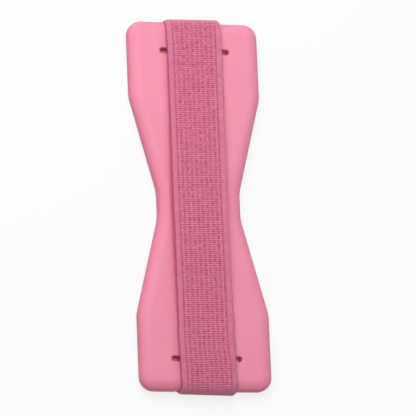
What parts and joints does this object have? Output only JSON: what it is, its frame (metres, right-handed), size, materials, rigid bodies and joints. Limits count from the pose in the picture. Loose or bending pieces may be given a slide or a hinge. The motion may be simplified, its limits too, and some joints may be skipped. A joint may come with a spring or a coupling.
{
  "type": "tablet strap grip",
  "caption": "Hourglass plate with a woven elastic strap along its front, stuck to a tablet's back so that fingers slip under the strap and hold it.",
  "frame": {"origin": "middle of the adhesive pad's underside, the face that lies on the tablet", "axes": "+Z out of the front, away from the tablet; Y along the plate and the strap; X across them"},
  "size_m": [0.0496, 0.1404, 0.0082],
  "materials": {
    "plate_plastic": "smooth matte pink plastic",
    "strap_elastic": "ribbed woven elastic, deeper pink than the plate",
    "pad_foam": "light pink adhesive foam"
  },
  "bodies": {
    "root": {"base_plate": "plate_plastic", "elastic_strap": "strap_elastic", "adhesive_pad": "pad_foam"}
  },
  "joints": []
}
